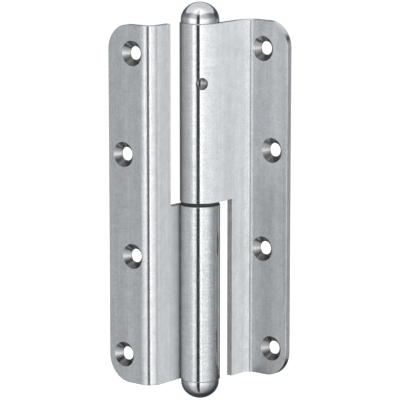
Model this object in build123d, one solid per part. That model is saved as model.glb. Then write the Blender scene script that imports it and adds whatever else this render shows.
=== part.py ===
from build123d import *
import math
import os

# Lift-off butt hinge with two folded sheet-metal leaves, in millimetres.
# The origin is on the pin axis at mid-height, +Z runs up the pin, and both flats lie along X.
# The frame leaf is on the -X side with the lower knuckle, the door leaf on the +X side
# with the upper one. Both flats take their screws from the -Y side.

# Leaves
leaf_height = 160.0
sheet_thickness = 3.0
crank_depth = 26.2        # pin axis to the far face of each flat
leaf_reach = 30.5         # pin axis to the outer edge of each flat
fold_inner_radius = 3.0
corner_radius = 11.5
notch_corner_radius = 0.8 # where the strip is cut back beside the other knuckle
edge_round = 0.3          # rounding left on the punched edges

# Rolled knuckles
bore_radius = 6.0
roll_gap = 0.2            # between the rolled end and the strip that it curls back to
knuckle_gap = 1.4         # between the two knuckles, filled by the bearing washer
frame_notch_gap = 3.8     # between the frame leaf's cut-back strip and the door knuckle
door_notch_gap = 2.7      # between the door leaf's cut-back strip and the frame knuckle

# Screw holes, counted from the top of each leaf
hole_count = 4
hole_pitch = 45.0
hole_radius = 3.0
sink_land = 0.4           # straight wall left below the 90 degree countersink
far_hole_inset = 13.6     # first and third hole, from the outer edge of the leaf
near_hole_inset = 8.5     # second and fourth hole, from the outer edge of the leaf

# Pin, washer and caps
seat_fit = 0.01           # radial clearance of a pin or shank that is pressed in
running_fit = 0.05        # radial clearance of a pin that its knuckle turns on
pin_end_gap = 2.0         # between the end of the pin and the shank of the top cap
pin_foot_gap = 0.5        # between the foot of the pin and the shank of the bottom cap
pin_chamfer = 1.2
washer_radius = 8.5
washer_chamfer = 0.2
cap_radius = 8.45
cap_skirt = 1.4
cap_dome_height = 7.6
cap_shoulder_radius = 6.7 # the dome's side; its crown is a larger arc that runs on from it
cap_edge_round = 0.35
bottom_shank_length = 10.0
shank_chamfer = 0.6

# Locking pin of the top cap
lock_pin_radius = 2.6
lock_hole_clearance = 0.1
lock_drop = 26.0          # below the top end of the leaf
lock_bearing = 44.5       # degrees from -Y towards +X
lock_recess = 1.3         # below the knuckle's surface
lock_dome_height = 0.8
lock_inner_end = 1.5      # distance of the pin's inner end from the hinge axis
lock_cover = 6.0          # shank of the top cap below the locking pin's axis

# Sizes that follow from those above
knuckle_radius = bore_radius + sheet_thickness
half_height = leaf_height / 2
half_gap = knuckle_gap / 2
knuckle_length = half_height - half_gap
fold_outer_radius = fold_inner_radius + sheet_thickness
fold_x = bore_radius + fold_outer_radius
fold_y = crank_depth - fold_outer_radius
roll_end_angle = math.degrees(math.acos(-(bore_radius - roll_gap) / knuckle_radius))
sink_depth = sheet_thickness - sink_land
sink_radius = hole_radius + sink_depth
seat_radius = bore_radius - seat_fit
journal_radius = bore_radius - running_fit
shoulder_offset = cap_radius - cap_shoulder_radius
crown_radius = (shoulder_offset**2 + cap_dome_height**2 - cap_shoulder_radius**2) / (
    2 * (cap_dome_height - cap_shoulder_radius)
)
shoulder_angle = math.degrees(math.atan2(crown_radius - cap_dome_height, shoulder_offset))
lock_height = half_height - lock_drop
top_shank_length = lock_drop + lock_cover
pin_top = half_height - top_shank_length - pin_end_gap
pin_foot = -half_height + bottom_shank_length + pin_foot_gap


def rolled_plan():
    """Plan of a whole leaf, drawn as the frame leaf: flat, fold, strip and rolled knuckle."""
    with BuildSketch() as plan:
        with BuildLine():
            Line((-leaf_reach, -crank_depth), (-fold_x, -crank_depth))
            CenterArc((-fold_x, -fold_y), fold_outer_radius, -90, 90)
            Line((-bore_radius, -fold_y), (-bore_radius, 0))
            bore = CenterArc((0, 0), bore_radius, 180, -180 - roll_end_angle)
            rim = CenterArc((0, 0), knuckle_radius, 180, -180 - roll_end_angle)
            Line(bore @ 1, rim @ 1)
            Line((-knuckle_radius, 0), (-knuckle_radius, -fold_y))
            CenterArc((-fold_x, -fold_y), fold_inner_radius, 0, -90)
            Line((-fold_x, sheet_thickness - crank_depth), (-leaf_reach, sheet_thickness - crank_depth))
            Line((-leaf_reach, sheet_thickness - crank_depth), (-leaf_reach, -crank_depth))
        make_face()
    return plan.sketch


def plate_plan(strip_end):
    """Plan of the flat, the fold and the strip where it is cut back to clear the other knuckle."""
    with BuildSketch() as plan:
        with BuildLine():
            Line((-leaf_reach, -crank_depth), (-fold_x, -crank_depth))
            CenterArc((-fold_x, -fold_y), fold_outer_radius, -90, 90)
            Line((-bore_radius, -fold_y), (-bore_radius, -strip_end))
            Line((-bore_radius, -strip_end), (-knuckle_radius, -strip_end))
            Line((-knuckle_radius, -strip_end), (-knuckle_radius, -fold_y))
            CenterArc((-fold_x, -fold_y), fold_inner_radius, 0, -90)
            Line((-fold_x, sheet_thickness - crank_depth), (-leaf_reach, sheet_thickness - crank_depth))
            Line((-leaf_reach, sheet_thickness - crank_depth), (-leaf_reach, -crank_depth))
        make_face()
    return plan.sketch


def folded_leaf(strip_end):
    """Frame leaf without its holes: rolled over its lower half, cut back over its upper half."""
    knuckle_part = extrude(rolled_plan(), amount=knuckle_length)
    plate_part = extrude(plate_plan(strip_end), amount=leaf_height)
    leaf = Pos(0, 0, -half_height) * (knuckle_part + plate_part)
    outer_corners = leaf.edges().filter_by(Axis.Y).group_by(Axis.X)[0]
    leaf = fillet(outer_corners, corner_radius)
    notch_corner = leaf.edges().filter_by(Axis.X).sort_by_distance((-bore_radius, -strip_end, -half_gap))[0]
    leaf = fillet(notch_corner, notch_corner_radius)
    return fillet(punched_edges(leaf, strip_end), edge_round)


def punched_edges(leaf, strip_end):
    """Long edges of the faces that the punch cut through the sheet."""
    edges = []
    for face in leaf.faces():
        if is_cut_face(face, strip_end):
            edges += [edge for edge in face.edges() if abs(edge.length - sheet_thickness) > 0.01]
    return edges


def is_cut_face(face, strip_end):
    """Whether a face is cut through the sheet: an end, a corner, the outer side or the strip's end."""
    centre = face.center()
    turned_up = abs(face.normal_at(centre).Z) > 0.5
    outer_side = abs(centre.X + leaf_reach) < 0.01
    end_of_strip = abs(centre.Y + strip_end) < 0.01
    return turned_up or outer_side or end_of_strip


def screw_hole():
    """Cutter of one countersunk hole, along +Y from the face where the screw head sits."""
    lip = Cylinder(sink_radius, sheet_thickness, align=(Align.CENTER, Align.CENTER, Align.MAX))
    cone = Cone(sink_radius, hole_radius, sink_depth, align=(Align.CENTER, Align.CENTER, Align.MIN))
    drill = Cylinder(hole_radius, 3 * sheet_thickness)
    return Rot(-90, 0, 0) * (lip + cone + drill)


def screw_holes(side, head_face):
    """Cutters of one leaf's staggered holes; side is -1 for the frame leaf and 1 for the door leaf."""
    top_hole = hole_pitch * (hole_count - 1) / 2
    cutters = []
    for index in range(hole_count):
        inset = near_hole_inset if index % 2 else far_hole_inset
        place = Pos(side * (leaf_reach - inset), head_face, top_hole - index * hole_pitch)
        cutters.append(place * screw_hole())
    return cutters


def frame_leaf():
    """Leaf on the frame, with the lower knuckle."""
    leaf = folded_leaf(knuckle_radius + frame_notch_gap)
    return leaf - screw_holes(-1, -crank_depth)


def door_leaf():
    """Leaf on the door: the frame leaf's form turned through its centre, with the upper knuckle."""
    leaf = folded_leaf(knuckle_radius + door_notch_gap)
    leaf = mirror(Rot(0, 0, 180) * leaf, about=Plane.XY)
    leaf -= screw_holes(1, crank_depth - sheet_thickness)
    return leaf - lock_hole()


def lock_axis():
    """Place of the locking pin's axis: local +Z runs out of the knuckle from the hinge axis."""
    return Pos(0, 0, lock_height) * Rot(0, 0, lock_bearing) * Rot(90, 0, 0)


def lock_hole():
    """Cutter of the radial hole for the locking pin, from its inner end out."""
    cutter = Cylinder(
        lock_pin_radius + lock_hole_clearance,
        2 * knuckle_radius,
        align=(Align.CENTER, Align.CENTER, Align.MIN),
    )
    return lock_axis() * Pos(0, 0, lock_inner_end) * cutter


def locking_pin():
    """Short radial pin with a low domed head, sunk below the knuckle's surface."""
    crown = knuckle_radius - lock_recess
    shoulder = crown - lock_dome_height
    with BuildSketch() as half:
        with BuildLine():
            Line((0, lock_inner_end), (lock_pin_radius, lock_inner_end))
            Line((lock_pin_radius, lock_inner_end), (lock_pin_radius, shoulder))
            dome_rise = lock_dome_height
            dome_radius = (lock_pin_radius**2 + dome_rise**2) / (2 * dome_rise)
            RadiusArc((lock_pin_radius, shoulder), (0, crown), -dome_radius)
            Line((0, crown), (0, lock_inner_end))
        make_face()
    return lock_axis() * revolve(Plane.XZ * half.sketch, Axis.Z)


def hinge_pin():
    """Pin pressed into the lower knuckle, turned down where the upper knuckle runs on it."""
    seat = Cylinder(
        seat_radius,
        -half_gap - pin_foot,
        align=(Align.CENTER, Align.CENTER, Align.MIN),
    )
    journal = Cylinder(
        journal_radius,
        pin_top + half_gap,
        align=(Align.CENTER, Align.CENTER, Align.MIN),
    )
    pin = Pos(0, 0, pin_foot) * seat + Pos(0, 0, -half_gap) * journal
    ends = pin.edges().filter_by(GeomType.CIRCLE).group_by(Axis.Z)
    return chamfer(ends[0] + ends[-1], pin_chamfer)


def bearing_washer():
    """Ring that carries the door leaf between the two knuckles."""
    with BuildPart() as washer:
        Cylinder(washer_radius, knuckle_gap)
        Cylinder(bore_radius, knuckle_gap, mode=Mode.SUBTRACT)
        rims = washer.edges().filter_by(GeomType.CIRCLE).sort_by(SortBy.RADIUS)[-2:]
        chamfer(rims, washer_chamfer)
    return washer.part


def domed_cap(shank_length):
    """Cap standing on the plane Z = 0: a low dome on a skirt, with a shank down into the bore."""
    crown_centre = cap_skirt + cap_dome_height - crown_radius
    with BuildSketch() as half:
        with BuildLine():
            Line((0, -shank_length), (seat_radius - shank_chamfer, -shank_length))
            Line((seat_radius - shank_chamfer, -shank_length), (seat_radius, shank_chamfer - shank_length))
            Line((seat_radius, shank_chamfer - shank_length), (seat_radius, 0))
            Line((seat_radius, 0), (cap_radius - cap_edge_round, 0))
            CenterArc((cap_radius - cap_edge_round, cap_edge_round), cap_edge_round, -90, 90)
            Line((cap_radius, cap_edge_round), (cap_radius, cap_skirt))
            CenterArc((shoulder_offset, cap_skirt), cap_shoulder_radius, 0, shoulder_angle)
            CenterArc((0, crown_centre), crown_radius, shoulder_angle, 90 - shoulder_angle)
            Line((0, cap_skirt + cap_dome_height), (0, -shank_length))
        make_face()
    return revolve(Plane.XZ * half.sketch, Axis.Z)


def top_cap():
    """Cap in the door knuckle, drilled for the locking pin that holds it."""
    return Pos(0, 0, half_height) * domed_cap(top_shank_length) - lock_hole()


def bottom_cap():
    """Cap in the frame knuckle."""
    return Rot(180, 0, 0) * Pos(0, 0, half_height) * domed_cap(bottom_shank_length)


pieces = {
    "frame_leaf": frame_leaf,
    "door_leaf": door_leaf,
    "hinge_pin": hinge_pin,
    "bearing_washer": bearing_washer,
    "bottom_cap": bottom_cap,
    "top_cap": top_cap,
    "locking_pin": locking_pin,
}

os.makedirs("parts", exist_ok=True)
for name, make in pieces.items():
    export_step(make(), f"parts/{name}.step")
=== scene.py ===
import math

import bpy
from bpy.props import FloatProperty, FloatVectorProperty, PointerProperty
from bpy.types import Operator, Panel, PropertyGroup
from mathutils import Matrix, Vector


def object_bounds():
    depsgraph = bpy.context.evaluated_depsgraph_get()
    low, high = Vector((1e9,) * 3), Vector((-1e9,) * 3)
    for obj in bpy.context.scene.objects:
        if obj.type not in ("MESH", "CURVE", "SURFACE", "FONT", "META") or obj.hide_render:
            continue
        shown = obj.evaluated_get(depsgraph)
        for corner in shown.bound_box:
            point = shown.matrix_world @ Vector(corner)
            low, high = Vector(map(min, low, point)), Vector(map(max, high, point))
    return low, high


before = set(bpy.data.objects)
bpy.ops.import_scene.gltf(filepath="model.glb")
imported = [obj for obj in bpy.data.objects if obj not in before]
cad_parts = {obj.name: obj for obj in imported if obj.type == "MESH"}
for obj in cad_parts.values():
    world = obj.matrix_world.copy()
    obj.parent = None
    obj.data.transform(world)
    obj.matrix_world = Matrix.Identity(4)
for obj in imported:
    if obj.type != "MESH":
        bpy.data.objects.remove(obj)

bl_info = {
    "name": "Lift-off Hinge Finish",
    "version": (1, 0, 0),
    "blender": (4, 5, 0),
    "location": "View3D > Sidebar > Hinge",
    "description": "Zinc-plated finishes, washer plastic and studio for a folded lift-off hinge",
    "category": "Object",
}

CAD_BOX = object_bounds()
LOW, HIGH = Vector(CAD_BOX[0]), Vector(CAD_BOX[1])
CENTRE = (LOW + HIGH) / 2

# Brightness of the room that the metal reflects, by degrees to the right of the camera: a dark gap
# just to the left of the camera, bright walls either side of it and the dim room behind
ROOM_BANDS = (
    (-180, 0.17),
    (-134, 0.13),
    (-120, 0.28),
    (-99, 0.38),
    (-84, 0.44),
    (-77, 0.61),
    (-70, 0.80),
    (-58, 1.14),
    (-42, 1.36),
    (-24, 1.16),
    (-21.5, 1.00),
    (-19.5, 0.01),
    (-0.5, 0.01),
    (1.5, 2.20),
    (8, 1.90),
    (10.5, 1.28),
    (38, 1.12),
    (50, 0.87),
    (64, 0.60),
    (80, 0.42),
    (94, 0.32),
    (108, 0.14),
    (120, 0.08),
    (180, 0.17),
)

# How much of that brightness is left at each height, by degrees above the horizon
ROOM_HEIGHTS = (
    (-90, 0.30),
    (-60, 0.42),
    (-30, 0.60),
    (-16, 0.84),
    (-10.5, 1.0),
    (-6.5, 1.15),
    (0, 1.28),
    (7, 1.00),
    (14, 0.58),
    (34, 0.56),
    (60, 0.56),
    (90, 0.55),
)

# The brightness that each of the two colour ramps holds as 1
ROOM_PEAK = 3.0
HEIGHT_PEAK = 1.3

# How much of the tint of a dim part of the room goes into more blue
BLUE_SHARE = 0.6

# How far a face looks to +X where the film of a strip starts, and how far along X the film reaches
FRAME_FILM = (0.93, 0.0)
DOOR_FILM = (0.70, 0.0115)

# How far a face looks to +X where that film is whole
FILM_WHOLE = 0.99

# Where each leaf's roll closes on its strip
FRAME_SEAM = (-0.006, -0.007, 0.0)
DOOR_SEAM = (0.006, 0.007, 0.0)

# Painted shade: the metal is painted darker within this distance of the seam, and darkest within
# that share of it
SEAM_REACH = 0.008
SEAM_CORE = 0.3

# The inner face of a strip lies nearer to the pin axis than this, and its outer face beyond it
SEAM_SIDE = 0.0065

# A rolled knuckle reaches this far from the pin axis, and its mask fades out over the next value
KNUCKLE_REACH = 0.0093
KNUCKLE_FADE = 0.0004

# Across the hinge, everything beyond this from the pin axis is flat plate with countersunk holes
PLATE_START = 0.0115

# From front to back, both strips are cut back to less than this from the pin axis
STRIPS_END = 0.0135

# From front to back, the door leaf's inner bend lies beyond the first and the frame leaf's outer
# bend beyond the second; the last is how far their masks take to fade in
INNER_BEND = 0.017
OUTER_BEND = 0.0195
BEND_FADE = 0.002

# How squarely a face looks along an axis where its mask starts and where it is whole
SQUARE_ON = (0.93, 0.995)

# How far the wall of a countersink looks along Y, and by how much that may differ
SINK_SLOPE = math.sqrt(0.5)
SINK_RANGE = 0.1

# How far the wall of a countersink looks up where its painted shade starts to deepen and where it
# is darkest
SINK_SHADE_RISE = (0.05, 0.55)

# Values of the noise where patches and speckle, and streaks, go from dull to clean
MOTTLE_EDGES = (0.34, 0.66)
STREAK_EDGES = (0.36, 0.64)

# Scale of the zinc's crystals beside that of the speckle, and their share of the relief
CRYSTAL_SCALE = 0.55
CRYSTAL_RELIEF = 0.5

# Scale of the broad streaks beside that of the fine ones
BROAD_STREAKS = 0.16

# How much finer the washer's speckle is than its scuffs
SCUFF_SPECKLE = 4.0

# A quarter turn of the anisotropy, so that reflections blur up and down and not across
DRAG_TURN = 0.25

# The floor's mesh, how bright its glow is, and how much of what the camera sees of it is glow
FLOOR_SPOKES = 48
FLOOR_RINGS = 12
FLOOR_GLOW = 1.15
FLOOR_GLOW_SHARE = 0.85

BLACK = (0.0, 0.0, 0.0)
WHITE = (1.0, 1.0, 1.0, 1.0)

LEAF_MASKS = (
    "Flats",
    "Strips",
    "Back",
    "Roll",
    "Inner Bend",
    "Outer Bend",
    "Seam",
    "Countersinks",
    "Upward",
)


def add(tree, kind, at, **settings):
    """A node of that kind in the tree at a place in its layout, with its own settings."""
    node = tree.nodes.new("ShaderNode" + kind)
    node.location = at
    for name, value in settings.items():
        setattr(node, name, value)
    return node


def fill(node, **values):
    """Sets the node's sockets by name, with _ for a space, or links an output to them."""
    for name, value in values.items():
        put(node, node.inputs[name.replace("_", " ")], value)
    return node


def fill_in_order(node, values):
    """Sets the node's sockets from the first on, or links outputs to them."""
    for socket, value in zip(node.inputs, values):
        put(node, socket, value)
    return node


def put(node, socket, value):
    """Sets one socket, or links an output to it."""
    if isinstance(value, bpy.types.NodeSocket):
        node.id_data.links.new(value, socket)
    else:
        socket.default_value = value


def maths(tree, operation, at, *values):
    """The output of a Math node over those values or outputs."""
    return fill_in_order(add(tree, "Math", at, operation=operation), values).outputs[0]


def vector_maths(tree, operation, at, *values):
    """The outputs of a Vector Math node over those vectors."""
    return fill_in_order(add(tree, "VectorMath", at, operation=operation), values).outputs


def smooth(tree, at, value, low, high):
    """A soft 0 to 1 mask that rises as a value goes from low to high."""
    node = add(tree, "MapRange", at, interpolation_type="SMOOTHSTEP")
    return fill(node, Value=value, From_Min=low, From_Max=high).outputs["Result"]


def spread(tree, at, value, lowest, highest):
    """A 0 to 1 mask spread between two values."""
    node = fill(add(tree, "MapRange", at), Value=value, To_Min=lowest, To_Max=highest)
    return node.outputs["Result"]


def strongest(tree, at, *shares):
    """The highest of several masks, each times its own share."""
    highest = None
    for number, (mask, share) in enumerate(shares):
        x, y = at[0], at[1] - 140 * number
        scaled = maths(tree, "MULTIPLY", (x, y), mask, share)
        if highest is None:
            highest = scaled
        else:
            highest = maths(tree, "MAXIMUM", (x + 160, y), highest, scaled)
    return highest


def noise(tree, at, vector, scale, detail, roughness):
    """The values of a noise texture."""
    node = add(tree, "TexNoise", at)
    fill(node, Vector=vector, Scale=scale, Detail=detail, Roughness=roughness)
    return node.outputs["Fac"]


def blend_colours(tree, at, mask, first, second):
    """The colour between first and second that a mask gives."""
    node = add(tree, "Mix", at, data_type="RGBA")
    put(node, node.inputs["Factor"], mask)
    for name, colour in (("A", first), ("B", second)):
        linked = isinstance(colour, bpy.types.NodeSocket)
        put(node, node.inputs[name], colour if linked else (*colour, 1.0))
    return node.outputs["Result"]


def mix_shaders(tree, at, share, first, second):
    """The shader between first and second that a share gives."""
    return fill_in_order(add(tree, "MixShader", at), (share, first, second)).outputs["Shader"]


def new_group(name, inputs, outputs):
    """An empty shader node group with those sockets, and its input and output nodes."""
    tree = bpy.data.node_groups.new(name, "ShaderNodeTree")
    for label, kind, value in inputs:
        socket = tree.interface.new_socket(label, in_out="INPUT", socket_type="NodeSocket" + kind)
        if value is not None:
            socket.default_value = value
    for label in outputs:
        tree.interface.new_socket(label, in_out="OUTPUT", socket_type="NodeSocketFloat")
    entry = tree.nodes.new("NodeGroupInput")
    entry.location = (-900, 0)
    leave = tree.nodes.new("NodeGroupOutput")
    leave.location = (700, 0)
    return tree, entry.outputs, leave


def zinc_mottle():
    """Cloudy patches and fine speckle of a zinc coat, as two masks and a height."""
    if "Zinc Mottle" in bpy.data.node_groups:
        return bpy.data.node_groups["Zinc Mottle"]
    tree, entry, leave = new_group(
        "Zinc Mottle",
        (
            ("Vector", "Vector", None),
            ("Patch Scale", "Float", 130.0),
            ("Speckle Scale", "Float", 1300.0),
        ),
        ("Patches", "Speckle", "Height"),
    )
    place = entry["Vector"]
    patches = noise(tree, (-600, 200), place, entry["Patch Scale"], detail=5.0, roughness=0.62)
    speckle = noise(tree, (-600, -120), place, entry["Speckle Scale"], detail=3.0, roughness=0.7)
    crystal_scale = maths(tree, "MULTIPLY", (-760, -520), entry["Speckle Scale"], CRYSTAL_SCALE)
    crystals = add(tree, "TexVoronoi", (-600, -420), feature="F1")
    fill(crystals, Vector=place, Scale=crystal_scale)
    grains = maths(tree, "MULTIPLY", (-380, -420), crystals.outputs["Distance"], CRYSTAL_RELIEF)
    fill(
        leave,
        Patches=smooth(tree, (-380, 200), patches, *MOTTLE_EDGES),
        Speckle=smooth(tree, (-380, -120), speckle, *MOTTLE_EDGES),
        Height=maths(tree, "ADD", (-160, -300), speckle, grains),
    )
    return tree


def rolling_grain():
    """Fine streaks, by their sizes up the sheet or round the pin, as a mask and a height."""
    if "Rolling Grain" in bpy.data.node_groups:
        return bpy.data.node_groups["Rolling Grain"]
    tree, entry, leave = new_group(
        "Rolling Grain",
        (
            ("Vector", "Vector", None),
            ("Streaks Across", "Float", 900.0),
            ("Streaks Along", "Float", 22.0),
            ("Broad Share", "Float", 0.6),
        ),
        ("Streaks", "Height"),
    )
    across, along = entry["Streaks Across"], entry["Streaks Along"]
    scale = fill(add(tree, "CombineXYZ", (-700, -160)), X=across, Y=across, Z=along)
    stretched = vector_maths(tree, "MULTIPLY", (-520, 0), entry["Vector"], scale.outputs["Vector"])
    fine = noise(tree, (-320, 120), stretched["Vector"], 1.0, detail=4.0, roughness=0.6)
    broad = noise(tree, (-320, -160), stretched["Vector"], BROAD_STREAKS, detail=2.0, roughness=0.5)
    apart = maths(tree, "SUBTRACT", (-200, -40), broad, fine)
    both = maths(tree, "MULTIPLY_ADD", (-80, 0), apart, entry["Broad Share"], fine)
    fill(leave, Streaks=smooth(tree, (140, 60), both, *STREAK_EDGES), Height=fine)
    return tree


def leaf_faces():
    """Masks of the faces, bends, the seam's painted shade and countersinks of a leaf, by how and
    where they face.
    """
    if "Leaf Faces" in bpy.data.node_groups:
        return bpy.data.node_groups["Leaf Faces"]
    tree, entry, leave = new_group(
        "Leaf Faces",
        (
            ("Normal", "Vector", None),
            ("Position", "Vector", None),
            ("Film Start", "Float", 0.9),
            ("Film End", "Float", 0.0),
            ("Rim Film", "Float", 0.4),
            ("Seam", "Vector", None),
        ),
        LEAF_MASKS,
    )
    facing = fill(add(tree, "SeparateXYZ", (-700, 200)), Vector=entry["Normal"]).outputs
    place = fill(add(tree, "SeparateXYZ", (-700, -200)), Vector=entry["Position"]).outputs
    turned_x = maths(tree, "ABSOLUTE", (-500, 300), facing["X"])
    turned_y = maths(tree, "ABSOLUTE", (-500, 200), facing["Y"])
    aside = maths(tree, "ABSOLUTE", (-500, -100), place["X"])
    depth = maths(tree, "ABSOLUTE", (-500, -560), place["Y"])
    sides = smooth(tree, (-300, 400), turned_x, *SQUARE_ON)
    flats = smooth(tree, (-300, 240), turned_y, *SQUARE_ON)
    plate = maths(tree, "GREATER_THAN", (-300, -100), aside, PLATE_START)
    middle = maths(tree, "SUBTRACT", (-100, -100), 1.0, plate)

    turning = smooth(tree, (-300, -280), facing["X"], entry["Film Start"], FILM_WHOLE)
    upright = maths(tree, "MAXIMUM", (-100, -280), sides, turning)
    filmed = maths(tree, "LESS_THAN", (-100, -420), place["X"], entry["Film End"])
    strips = maths(tree, "MULTIPLY", (100, -280), upright, filmed)
    near = maths(tree, "LESS_THAN", (-300, -560), depth, STRIPS_END)
    inner = maths(tree, "MULTIPLY", (-100, -560), near, middle)
    ends = maths(tree, "MULTIPLY", (100, -560), inner, flats)
    outer = maths(tree, "MULTIPLY", (-100, -160), sides, plate)
    rims = maths(tree, "MULTIPLY", (100, -160), outer, entry["Rim Film"])
    edges = maths(tree, "MAXIMUM", (200, -400), ends, rims)

    plan = fill(add(tree, "CombineXYZ", (-500, -920)), X=place["X"], Y=place["Y"]).outputs["Vector"]
    radius = vector_maths(tree, "LENGTH", (-300, -920), plan)["Value"]
    # Painted shade beside each roll's seam, on the inner side of the strip only
    apart = vector_maths(tree, "DISTANCE", (-300, -1240), plan, entry["Seam"])["Value"]
    painted_seam_mask = smooth(tree, (-100, -1240), apart, SEAM_REACH, SEAM_CORE * SEAM_REACH)
    inside = maths(tree, "LESS_THAN", (-100, -1400), aside, SEAM_SIDE)

    bent_in = smooth(tree, (-300, -740), place["Y"], INNER_BEND - BEND_FADE, INNER_BEND + BEND_FADE)
    bent_out = smooth(tree, (-300, -1080), place["Y"], -OUTER_BEND, -OUTER_BEND - BEND_FADE)
    sloped = maths(tree, "COMPARE", (-100, 60), turned_y, SINK_SLOPE, SINK_RANGE)
    fill(
        leave,
        Flats=flats,
        Strips=maths(tree, "MAXIMUM", (300, -280), strips, edges),
        Back=smooth(tree, (300, -460), facing["Y"], *SQUARE_ON),
        Roll=smooth(tree, (300, -920), radius, KNUCKLE_REACH, KNUCKLE_REACH - KNUCKLE_FADE),
        Inner_Bend=maths(tree, "MULTIPLY", (300, -740), bent_in, middle),
        Outer_Bend=maths(tree, "MULTIPLY", (300, -1080), bent_out, middle),
        Seam=maths(tree, "MULTIPLY", (300, -1240), painted_seam_mask, inside),
        Countersinks=maths(tree, "MULTIPLY", (300, 60), sloped, plate),
        Upward=smooth(tree, (300, 500), facing["Z"], *SINK_SHADE_RISE),
    )
    return tree


def use_group(tree, group, at, **values):
    """The outputs of a node group placed in a material with that material's own values."""
    node = tree.nodes.new("ShaderNodeGroup")
    node.node_tree = group
    node.location = at
    return fill(node, **values).outputs


def new_material(name):
    """An empty material with its shader joined to the output, its tree and the shader."""
    material = bpy.data.materials.new(name)
    material.use_nodes = True
    tree = material.node_tree
    tree.nodes.clear()
    out = add(tree, "OutputMaterial", (900, 0))
    shader = add(tree, "BsdfPrincipled", (600, 0))
    tree.links.new(shader.outputs["BSDF"], out.inputs["Surface"])
    return material, tree, shader


def zinc_coat(tree, place, finish):
    """How clean the coat is, as a mask, and its relief, as a height."""
    mottle = use_group(
        tree,
        zinc_mottle(),
        (-650, 200),
        Vector=place,
        Patch_Scale=1.0 / finish.patch_size,
        Speckle_Scale=1.0 / finish.speckle_size,
    )
    grain = use_group(
        tree,
        rolling_grain(),
        (-650, -200),
        Vector=place,
        Streaks_Across=1.0 / finish.streak_width,
        Streaks_Along=1.0 / finish.streak_length,
    )
    speckle, streaks = finish.speckle_share, finish.streak_share
    patches = maths(tree, "MULTIPLY", (-480, 120), mottle["Patches"], 1.0 - speckle)
    cloudy = maths(tree, "MULTIPLY_ADD", (-350, 200), mottle["Speckle"], speckle, patches)
    under = maths(tree, "MULTIPLY", (-260, 20), cloudy, 1.0 - streaks)
    clean = maths(tree, "MULTIPLY_ADD", (-200, 120), grain["Streaks"], streaks, under)
    relief = maths(
        tree, "MULTIPLY_ADD", (-100, -320), grain["Height"], streaks, mottle["Height"]
    )
    return clean, relief


def leaf_coat(tree, lookup, finish, leaf, colour, roughness):
    """The colour and roughness of a leaf over those of its coat, with its painted shades, and how
    bare of film it is.
    """
    faces = use_group(
        tree,
        leaf_faces(),
        (-650, -600),
        Normal=lookup["Normal"],
        Position=lookup["Object"],
        Film_Start=leaf["film"][0],
        Film_End=leaf["film"][1],
        Rim_Film=finish.rim_film,
        Seam=leaf["seam"],
    )
    # Painted shade: the countersinks' walls are painted darker, and darker still where they face
    # up, low in each hole
    steel = blend_colours(
        tree, (100, 320), faces["Upward"], finish.sink_painted_shade, finish.sink_low_painted_shade
    )
    colour = blend_colours(tree, (280, 200), faces["Countersinks"], colour, steel)
    rolled = use_group(
        tree,
        rolling_grain(),
        (-650, -900),
        Vector=lookup["Object"],
        Streaks_Across=1.0 / finish.roll_mark_length,
        Streaks_Along=1.0 / finish.roll_mark_width,
        Broad_Share=0.0,
    )
    marks = maths(tree, "MULTIPLY", (-300, -900), rolled["Streaks"], faces["Roll"])
    marked = maths(tree, "MULTIPLY", (-100, -900), marks, finish.roll_marks)
    colour = blend_colours(tree, (440, 320), marked, colour, finish.mark_colour)
    # Painted shade: the door leaf's flat, the frame leaf's strip and the metal beside the seams are
    # blended towards black
    shade = strongest(
        tree,
        (-100, -1100),
        (faces["Flats"], leaf["flat_painted_shade"]),
        (faces["Strips"], leaf["strip_painted_shade"]),
        (faces["Seam"], finish.seam_painted_shade),
    )
    colour = blend_colours(tree, (560, 320), shade, colour, BLACK)

    satin = maths(tree, "MAXIMUM", (100, -180), faces["Flats"], faces["Inner Bend"])
    rougher = (
        (satin, finish.flat_roughness),
        (faces["Strips"], finish.strip_roughness),
        (faces["Outer Bend"], finish.bend_roughness),
    )
    for number, (mask, more) in enumerate(rougher):
        at = (200 + 120 * number, -60)
        roughness = maths(tree, "MULTIPLY_ADD", at, mask, more, roughness)

    film = strongest(
        tree, (200, 60), (faces["Back"], finish.back_film), (faces["Strips"], finish.strip_film)
    )
    bare = maths(tree, "SUBTRACT", (480, 60), 1.0, film)
    return colour, roughness, bare


def zinc(name, finish, leaf=None):
    """Plated or ground steel with patches, speckle and streaks, and what a leaf has over them."""
    material, tree, shader = new_material(name)
    lookup = add(tree, "TexCoord", (-900, 0)).outputs
    clean, relief = zinc_coat(tree, lookup["Object"], finish)
    colour = blend_colours(tree, (0, 200), clean, finish.dull_colour, finish.colour)
    roughness = spread(tree, (0, -60), clean, finish.dull_roughness, finish.bright_roughness)
    bare = 1.0
    if leaf:
        colour, roughness, bare = leaf_coat(tree, lookup, finish, leaf, colour, roughness)
    round_pin = add(tree, "Tangent", (350, -480), direction_type="RADIAL", axis="Z")
    fill(
        shader,
        Base_Color=colour,
        Roughness=roughness,
        Metallic=bare,
        Normal=raised(tree, (350, -260), finish.relief, relief),
        Anisotropic=finish.drag,
        Anisotropic_Rotation=DRAG_TURN,
        Tangent=round_pin.outputs["Tangent"],
    )
    return material


def raised(tree, at, distance, height):
    """The normal of a surface with that relief."""
    bump = fill(add(tree, "Bump", at), Strength=1.0, Distance=distance, Height=height)
    return bump.outputs["Normal"]


def dress(material, *names):
    """Gives CAD nodes that material, and stops where one isn't in the frame."""
    for name in names:
        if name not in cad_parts:
            raise RuntimeError("the frame has no node " + name)
        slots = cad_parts[name].data.materials
        slots.clear()
        slots.append(material)


def colour_property(name, description, default):
    """A colour property."""
    return FloatVectorProperty(
        name=name,
        description=description,
        subtype="COLOR",
        size=3,
        min=0.0,
        max=1.0,
        default=default,
    )


def length_property(name, description, default):
    """A length property."""
    return FloatProperty(
        name=name,
        description=description,
        subtype="DISTANCE",
        unit="LENGTH",
        precision=5,
        default=default,
    )


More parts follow.
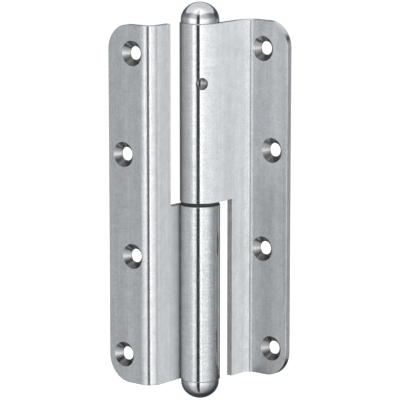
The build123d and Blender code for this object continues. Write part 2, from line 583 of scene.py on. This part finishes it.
def angle_property(name, description, degrees):
    """An angle property, given in degrees and held in radians."""
    return FloatProperty(
        name=name,
        description=description,
        subtype="ANGLE",
        unit="ROTATION",
        default=math.radians(degrees),
    )


def level_property(name, description, default):
    """The brightness of a light."""
    return FloatProperty(name=name, description=description, min=0.0, default=default)


def share_property(name, description, default):
    """A 0 to 1 property."""
    return FloatProperty(
        name=name,
        description=description,
        subtype="FACTOR",
        min=0.0,
        max=1.0,
        default=default,
    )


class HingeLeafFinish(PropertyGroup):
    """The satin zinc of the two leaves"""

    colour: colour_property("Clean Zinc", "Colour of the clean zinc coat", (0.905, 0.92, 0.935))
    dull_colour: colour_property(
        "Dull Zinc", "Colour of the duller patches", (0.56, 0.582, 0.602)
    )
    # Painted shade on the countersinks' walls, darkest low in each hole
    sink_painted_shade: colour_property(
        "Countersinks", "Colour of the painted shade on the countersinks' walls", (0.44, 0.445, 0.45)
    )
    sink_low_painted_shade: colour_property(
        "Countersink Low Shade", "Colour of the darker painted shade low in the countersinks", (0.13, 0.13, 0.13)
    )
    mark_colour: colour_property(
        "Roll Marks", "Colour of the marks that rolling left", (0.30, 0.305, 0.31)
    )
    bright_roughness: share_property("Bright Roughness", "Roughness of the clean zinc", 0.18)
    dull_roughness: share_property("Dull Roughness", "Roughness of the duller patches", 0.24)
    flat_roughness: share_property(
        "Flat Roughness", "How much rougher the flats and the inner bend are", 0.2
    )
    strip_roughness: share_property("Strip Roughness", "How much rougher the strips are", 0.34)
    bend_roughness: share_property("Bend Roughness", "How much rougher the outer bend is", 0.08)
    strip_film: share_property(
        "Strip Film", "How much matt film the strips keep over the zinc", 0.5
    )
    rim_film: share_property(
        "Rim Film", "How much of the strips' film the outer edges keep", 0.35
    )
    back_film: share_property(
        "Back Film", "How much matt film the back of the flats keeps", 0.4
    )
    # Painted shade: the frame leaf's strip and the door leaf's flat are painted darker than the
    # same zinc elsewhere
    strip_painted_shade: share_property(
        "Frame Strip Painted Shade", "How much darker the frame leaf's strip is", 0.12
    )
    flat_painted_shade: share_property(
        "Door Flat Painted Shade", "How much darker the door leaf's flat is", 0.18
    )
    # Painted shade beside the rolls' seams
    seam_painted_shade: share_property(
        "Seam Painted Shade", "How much darker the metal beside the rolls' seams is", 0.25
    )
    patch_size: length_property("Patch Size", "Size of the cloudy patches", 0.0035)
    speckle_size: length_property("Speckle Size", "Size of the fine speckle", 0.0006)
    speckle_share: share_property(
        "Speckle", "How much the speckle shows beside the patches", 0.7
    )
    streak_width: length_property("Streak Width", "Width of the rolling streaks", 0.0011)
    streak_length: length_property("Streak Length", "Length of the rolling streaks", 0.045)
    streak_share: share_property("Streaks", "How much the streaks show beside the patches", 0.35)
    roll_marks: share_property(
        "Roll Mark Depth", "How much the marks round the knuckles show", 0.16
    )
    roll_mark_width: length_property(
        "Roll Mark Width", "Width of the marks round the knuckles", 0.0005
    )
    roll_mark_length: length_property(
        "Roll Mark Length", "Length of the marks round the knuckles", 0.006
    )
    drag: share_property(
        "Drag", "How much further a reflection is blurred up and down than across", 0.55
    )
    relief: length_property("Relief", "Depth of the speckle in the surface", 0.000007)


class HingeCapFinish(PropertyGroup):
    """The brighter zinc of the two domed caps"""

    colour: colour_property("Clean Zinc", "Colour of the clean zinc coat", (0.76, 0.77, 0.785))
    dull_colour: colour_property(
        "Dull Zinc", "Colour of the duller patches", (0.68, 0.69, 0.705)
    )
    bright_roughness: share_property("Bright Roughness", "Roughness of the clean zinc", 0.16)
    dull_roughness: share_property("Dull Roughness", "Roughness of the duller patches", 0.22)
    patch_size: length_property("Patch Size", "Size of the cloudy patches", 0.004)
    speckle_size: length_property("Speckle Size", "Size of the fine speckle", 0.0007)
    speckle_share: share_property(
        "Speckle", "How much the speckle shows beside the patches", 0.4
    )
    streak_width: length_property("Streak Width", "Width of the turning marks", 0.0012)
    streak_length: length_property("Streak Length", "Length of the turning marks", 0.0012)
    streak_share: share_property(
        "Streaks", "How much the turning marks show beside the patches", 0.2
    )
    drag: share_property(
        "Drag", "How much further a reflection is blurred up and down than across", 0.3
    )
    relief: length_property("Relief", "Depth of the speckle in the surface", 0.000004)


class HingePinFinish(PropertyGroup):
    """The ground steel of the hinge pin and the locking pin"""

    colour: colour_property("Clean Steel", "Colour of the ground steel", (0.38, 0.39, 0.40))
    dull_colour: colour_property(
        "Dull Steel", "Colour of the duller patches", (0.27, 0.28, 0.29)
    )
    bright_roughness: share_property("Bright Roughness", "Roughness of the ground steel", 0.14)
    dull_roughness: share_property("Dull Roughness", "Roughness of the duller patches", 0.26)
    patch_size: length_property("Patch Size", "Size of the cloudy patches", 0.003)
    speckle_size: length_property("Speckle Size", "Size of the fine speckle", 0.0005)
    speckle_share: share_property(
        "Speckle", "How much the speckle shows beside the patches", 0.4
    )
    streak_width: length_property("Streak Width", "Width of the grinding marks", 0.003)
    streak_length: length_property("Streak Length", "Length of the grinding marks", 0.0003)
    streak_share: share_property(
        "Streaks", "How much the grinding marks show beside the patches", 0.5
    )
    drag: share_property(
        "Drag", "How much further a reflection is blurred up and down than across", 0.0
    )
    relief: length_property("Relief", "Depth of the marks in the surface", 0.000005)


class HingeWasherFinish(PropertyGroup):
    """The dark moulded bearing washer"""

    colour: colour_property("Plastic", "Colour of the washer", (0.014, 0.014, 0.016))
    scuff_colour: colour_property(
        "Scuffs", "Colour of the scuffed places", (0.034, 0.034, 0.037)
    )
    scuff_size: length_property("Scuff Size", "Size of the scuffed places", 0.0012)
    roughness: share_property("Roughness", "Roughness of the clean plastic", 0.48)
    scuff_roughness: share_property("Scuff Roughness", "Roughness of the scuffed places", 0.62)
    relief: length_property("Relief", "Depth of the moulded texture", 0.00001)


class HingeStudio(PropertyGroup):
    """The camera, the room, the lights and the floor"""

    camera_turn: angle_property(
        "Camera Turn", "How far the camera stands round from the front", 39.14
    )
    camera_rise: angle_property(
        "Camera Rise", "How far the camera looks down on the hinge", 10.6
    )
    camera_distance: length_property(
        "Camera Distance", "From the camera to the middle of the hinge", 1.186
    )
    camera_aim: length_property(
        "Camera Aim", "How far over the hinge's middle the camera looks", 0.00098
    )
    lens: FloatProperty(
        name="Lens", description="Focal length", subtype="DISTANCE_CAMERA", default=241.3
    )
    room_level: level_property("Room", "Brightness of the room", 1.0)
    room_tint: share_property(
        "Room Tint", "How much bluer the dim parts of the room are", 0.08
    )
    softbox_width: length_property("Softbox Width", "Width of the softbox overhead", 1.7)
    softbox_length: length_property("Softbox Length", "Length of the softbox", 1.7)
    softbox_forward: length_property(
        "Softbox Forward", "From over the hinge towards the camera to the softbox", -0.42
    )
    softbox_turn: angle_property(
        "Softbox Turn", "How far the softbox is turned from the camera", 45
    )
    softbox_height: length_property(
        "Softbox Height", "Height of the softbox over the hinge", 0.7
    )
    softbox_level: level_property("Softbox", "Brightness of the softbox", 0.72)
    light_distance: length_property(
        "Light Distance", "From the key or rear light to the middle of the hinge", 1.0
    )
    light_size: length_property("Light Size", "Side of the square key and rear lights", 0.5)
    key_turn: angle_property(
        "Key Turn", "How far to the right of the camera the key light stands", 40
    )
    key_rise: angle_property(
        "Key Rise", "How high over the horizon the key light stands", 28
    )
    key_level: level_property("Key", "Brightness of the key light", 9.5)
    rear_turn: angle_property(
        "Rear Turn", "How far to the right of the camera the rear light stands", 172
    )
    rear_rise: angle_property(
        "Rear Rise", "How high over the horizon the rear light stands", 30
    )
    rear_level: level_property("Rear", "Brightness of the rear light", 7.0)
    floor_drop: length_property("Floor Drop", "From the lower cap down to the floor", 0.036)
    floor_size: length_property("Floor Size", "Radius of the round floor", 3.0)
    floor_colour: colour_property("Floor", "Colour of the floor", (0.86, 0.86, 0.86))


class HINGE_OT_finish_leaves(Operator):
    """Give each leaf satin zinc with its patches, streaks, roll marks, film and painted shades"""

    bl_idname = "hinge.finish_leaves"
    bl_label = "Finish Leaves"

    def execute(self, context):
        finish = context.scene.hinge_leaves
        leaves = {
            "Frame": {
                "film": FRAME_FILM,
                "seam": FRAME_SEAM,
                "flat_painted_shade": 0.0,
                "strip_painted_shade": finish.strip_painted_shade,
            },
            "Door": {
                "film": DOOR_FILM,
                "seam": DOOR_SEAM,
                "flat_painted_shade": finish.flat_painted_shade,
                "strip_painted_shade": 0.0,
            },
        }
        for side, leaf in leaves.items():
            dress(zinc(f"Satin Zinc {side} Leaf", finish, leaf), side.lower() + "_leaf")
        return {"FINISHED"}


class HINGE_OT_finish_caps(Operator):
    """Give both domed caps their brighter zinc"""

    bl_idname = "hinge.finish_caps"
    bl_label = "Finish Caps"

    def execute(self, context):
        dress(zinc("Bright Zinc Cap", context.scene.hinge_caps), "top_cap", "bottom_cap")
        return {"FINISHED"}


class HINGE_OT_finish_pins(Operator):
    """Give the hinge pin and the locking pin ground steel"""

    bl_idname = "hinge.finish_pins"
    bl_label = "Finish Pins"

    def execute(self, context):
        dress(zinc("Ground Steel Pin", context.scene.hinge_pins), "hinge_pin", "locking_pin")
        return {"FINISHED"}


class HINGE_OT_finish_washer(Operator):
    """Give the bearing washer its dark moulded plastic"""

    bl_idname = "hinge.finish_washer"
    bl_label = "Finish Washer"

    def execute(self, context):
        finish = context.scene.hinge_washer
        material, tree, shader = new_material("Moulded Washer Plastic")
        mottle = use_group(
            tree,
            zinc_mottle(),
            (-650, 0),
            Vector=add(tree, "TexCoord", (-900, 0)).outputs["Object"],
            Patch_Scale=1.0 / finish.scuff_size,
            Speckle_Scale=SCUFF_SPECKLE / finish.scuff_size,
        )
        scuffs = mottle["Patches"]
        fill(
            shader,
            Base_Color=blend_colours(
                tree, (-300, 200), scuffs, finish.colour, finish.scuff_colour
            ),
            Roughness=spread(
                tree, (-300, -60), scuffs, finish.roughness, finish.scuff_roughness
            ),
            Normal=raised(tree, (-300, -300), finish.relief, mottle["Height"]),
        )
        dress(material, "bearing_washer")
        return {"FINISHED"}


def new_object(name, data):
    """A new object of that data, in the scene."""
    thing = bpy.data.objects.new(name, data)
    bpy.context.scene.collection.objects.link(thing)
    return thing


def from_camera(studio, distance, turn=0.0, rise=None):
    """A place at that distance from the hinge's middle, turned right from the camera."""
    az = studio.camera_turn + turn
    up = studio.camera_rise if rise is None else rise
    flat = distance * math.cos(up)
    return CENTRE + Vector((flat * math.sin(az), -flat * math.cos(az), distance * math.sin(up)))


def look_at_centre(place):
    """How a camera or light turns to look from that place at the middle of the hinge."""
    return (CENTRE - place).to_track_quat("-Z", "Y").to_euler()


def make_camera(studio):
    """The camera at the photograph's angle, looking just over the middle of the hinge."""
    data = bpy.data.cameras.new("Camera")
    data.lens = studio.lens
    camera = new_object("Camera", data)
    place = from_camera(studio, studio.camera_distance)
    camera.location = place + Vector((0, 0, studio.camera_aim))
    camera.rotation_euler = look_at_centre(place)
    bpy.context.scene.camera = camera


def set_ramp(ramp, stops, peak, tint):
    """Gives a colour ramp stops of (place, brightness), with 1 at the peak and bluer where dim."""
    while len(ramp.elements) > 1:
        ramp.elements.remove(ramp.elements[-1])
    for number, (place, level) in enumerate(stops):
        stop = ramp.elements[0] if number == 0 else ramp.elements.new(place)
        stop.position = place
        share = level / peak
        cool = tint * max(0.0, 1.0 - level)
        stop.color = (share * (1.0 - cool), share, share * (1.0 + BLUE_SHARE * cool), 1.0)


def make_room(studio):
    """A world that is white to the camera, and bands of light and dark in the metal."""
    world = bpy.data.worlds.new("Studio Room")
    bpy.context.scene.world = world
    world.use_nodes = True
    tree = world.node_tree
    tree.nodes.clear()
    out = add(tree, "OutputWorld", (1200, 0))
    lookup = add(tree, "TexCoord", (-1100, 0))
    toward = fill_in_order(add(tree, "SeparateXYZ", (-900, 0)), [lookup.outputs["Generated"]])
    ahead = maths(tree, "MULTIPLY", (-720, -120), toward.outputs["Y"], -1.0)
    turn = maths(tree, "ARCTAN2", (-540, 0), toward.outputs["X"], ahead)
    relative = maths(tree, "SUBTRACT", (-360, 0), turn, studio.camera_turn)
    lap = maths(tree, "MULTIPLY_ADD", (-180, 0), relative, 0.5 / math.pi, 0.5)
    around = fill(add(tree, "ValToRGB", (180, 120)), Fac=maths(tree, "FRACT", (0, 0), lap))
    bands = [((degrees + 180) / 360, level) for degrees, level in ROOM_BANDS]
    set_ramp(around.color_ramp, bands, ROOM_PEAK, studio.room_tint)
    rise = maths(tree, "ARCSINE", (-540, -320), toward.outputs["Z"])
    height = maths(tree, "MULTIPLY_ADD", (-360, -320), rise, 1.0 / math.pi, 0.5)
    upward = fill(add(tree, "ValToRGB", (180, -320)), Fac=height)
    heights = [((degrees + 90) / 180, level) for degrees, level in ROOM_HEIGHTS]
    set_ramp(upward.color_ramp, heights, HEIGHT_PEAK, 0.0)
    walls = add(tree, "Mix", (480, -100), data_type="RGBA", blend_type="MULTIPLY")
    put(walls, walls.inputs["Factor"], 1.0)
    put(walls, walls.inputs["A"], around.outputs["Color"])
    put(walls, walls.inputs["B"], upward.outputs["Color"])
    strength = ROOM_PEAK * HEIGHT_PEAK * studio.room_level
    room = add(tree, "Background", (800, -100))
    fill(room, Color=walls.outputs["Result"], Strength=strength)
    white = fill(add(tree, "Background", (800, 120)), Color=WHITE, Strength=1.0)
    path = add(tree, "LightPath", (480, 420)).outputs
    straight = maths(
        tree, "MAXIMUM", (800, 320), path["Is Camera Ray"], path["Is Transmission Ray"]
    )
    seen = mix_shaders(
        tree, (1000, 0), straight, room.outputs["Background"], white.outputs["Background"]
    )
    fill(out, Surface=seen)


def make_softbox(studio):
    """A softbox overhead, turned away from the camera and set back from over the hinge."""
    data = bpy.data.lights.new("Softbox", "AREA")
    data.shape = "RECTANGLE"
    data.size = studio.softbox_width
    data.size_y = studio.softbox_length
    data.energy = studio.softbox_level * math.pi * data.size * data.size_y
    softbox = new_object("Softbox", data)
    softbox.location = from_camera(studio, studio.softbox_forward, rise=0.0)
    softbox.location.z += studio.softbox_height
    softbox.rotation_euler = (0, 0, studio.camera_turn + studio.softbox_turn)
    softbox.visible_camera = False


def make_light(studio, name, turn, rise, level):
    """A light that stands round the hinge, and that only matt surfaces answer to."""
    data = bpy.data.lights.new(name, "AREA")
    data.shape = "SQUARE"
    data.size = studio.light_size
    data.energy = level * math.pi * studio.light_size**2
    light = new_object(name, data)
    light.location = from_camera(studio, studio.light_distance, turn, rise)
    light.rotation_euler = look_at_centre(light.location)
    light.visible_camera = False
    light.visible_glossy = False


def floor_mesh(studio):
    """A round mesh under the hinge, with rings that are closer together near its middle."""
    level = LOW.z - studio.floor_drop
    points = [(CENTRE.x, CENTRE.y, level)]
    for ring in range(1, FLOOR_RINGS + 1):
        radius = studio.floor_size * (ring / FLOOR_RINGS) ** 2
        for spoke in range(FLOOR_SPOKES):
            turn = math.tau * spoke / FLOOR_SPOKES
            x = CENTRE.x + radius * math.cos(turn)
            y = CENTRE.y + radius * math.sin(turn)
            points.append((x, y, level))
    following = [(spoke + 1) % FLOOR_SPOKES for spoke in range(FLOOR_SPOKES)]
    faces = [(0, 1 + spoke, 1 + after) for spoke, after in enumerate(following)]
    for ring in range(FLOOR_RINGS - 1):
        first = 1 + ring * FLOOR_SPOKES
        second = first + FLOOR_SPOKES
        for spoke, after in enumerate(following):
            faces.append((first + spoke, second + spoke, second + after, first + after))
    mesh = bpy.data.meshes.new("Floor")
    mesh.from_pydata(points, [], faces)
    return mesh


def floor_paint(studio):
    """A pale paint that glows to the camera, and is clear to the metal and from underneath."""
    material = bpy.data.materials.new("Pale Floor")
    material.use_nodes = True
    tree = material.node_tree
    tree.nodes.clear()
    out = add(tree, "OutputMaterial", (800, 0))
    path = add(tree, "LightPath", (-400, 300)).outputs
    under = add(tree, "NewGeometry", (-400, 500)).outputs["Backfacing"]
    paint = fill(add(tree, "BsdfDiffuse", (-400, -100)), Color=(*studio.floor_colour, 1.0))
    glow = fill(add(tree, "Emission", (-400, -300)), Color=WHITE, Strength=FLOOR_GLOW)
    clear = add(tree, "BsdfTransparent", (200, -200))
    glowing = mix_shaders(
        tree, (-100, -100), FLOOR_GLOW_SHARE, paint.outputs["BSDF"], glow.outputs["Emission"]
    )
    lit = mix_shaders(tree, (200, 0), path["Is Camera Ray"], paint.outputs["BSDF"], glowing)
    hidden = maths(tree, "MAXIMUM", (200, 300), path["Is Glossy Ray"], under)
    fill(out, Surface=mix_shaders(tree, (500, 0), hidden, lit, clear.outputs["BSDF"]))
    return material


def make_floor(studio):
    """A pale floor that keeps a soft shadow."""
    floor = new_object("Floor", floor_mesh(studio))
    floor.data.materials.append(floor_paint(studio))


class HINGE_OT_set_stage(Operator):
    """Set the camera, the room, the softbox, the key and rear lights and the floor"""

    bl_idname = "hinge.set_stage"
    bl_label = "Set Stage"

    def execute(self, context):
        studio = context.scene.hinge_studio
        make_camera(studio)
        make_room(studio)
        make_softbox(studio)
        make_light(studio, "Key", studio.key_turn, studio.key_rise, studio.key_level)
        make_light(studio, "Rear", studio.rear_turn, studio.rear_rise, studio.rear_level)
        make_floor(studio)
        context.scene.view_settings.view_transform = "Standard"
        return {"FINISHED"}


class HINGE_PT_sidebar(Panel):
    """Lists the finishing steps and their values"""

    bl_label = "Lift-off Hinge"
    bl_idname = "HINGE_PT_sidebar"
    bl_space_type = "VIEW_3D"
    bl_region_type = "UI"
    bl_category = "Hinge"

    def draw(self, context):
        scene = context.scene
        for step, values in (
            (HINGE_OT_finish_leaves, scene.hinge_leaves),
            (HINGE_OT_finish_caps, scene.hinge_caps),
            (HINGE_OT_finish_pins, scene.hinge_pins),
            (HINGE_OT_finish_washer, scene.hinge_washer),
            (HINGE_OT_set_stage, scene.hinge_studio),
        ):
            box = self.layout.box()
            box.operator(step.bl_idname)
            for name in values.__annotations__:
                box.prop(values, name)


SCENE_VALUES = {
    "hinge_leaves": HingeLeafFinish,
    "hinge_caps": HingeCapFinish,
    "hinge_pins": HingePinFinish,
    "hinge_washer": HingeWasherFinish,
    "hinge_studio": HingeStudio,
}

CLASSES = (
    *SCENE_VALUES.values(),
    HINGE_OT_finish_leaves,
    HINGE_OT_finish_caps,
    HINGE_OT_finish_pins,
    HINGE_OT_finish_washer,
    HINGE_OT_set_stage,
    HINGE_PT_sidebar,
)


def register():
    for entry in CLASSES:
        bpy.utils.register_class(entry)
    for name, group in SCENE_VALUES.items():
        setattr(bpy.types.Scene, name, PointerProperty(type=group))


def unregister():
    for name in reversed(SCENE_VALUES):
        delattr(bpy.types.Scene, name)
    for entry in reversed(CLASSES):
        bpy.utils.unregister_class(entry)


def main():
    register()
    bpy.ops.hinge.set_stage()
    bpy.ops.hinge.finish_leaves()
    bpy.ops.hinge.finish_caps()
    bpy.ops.hinge.finish_pins()
    bpy.ops.hinge.finish_washer()


if __name__ == "__main__":
    main()
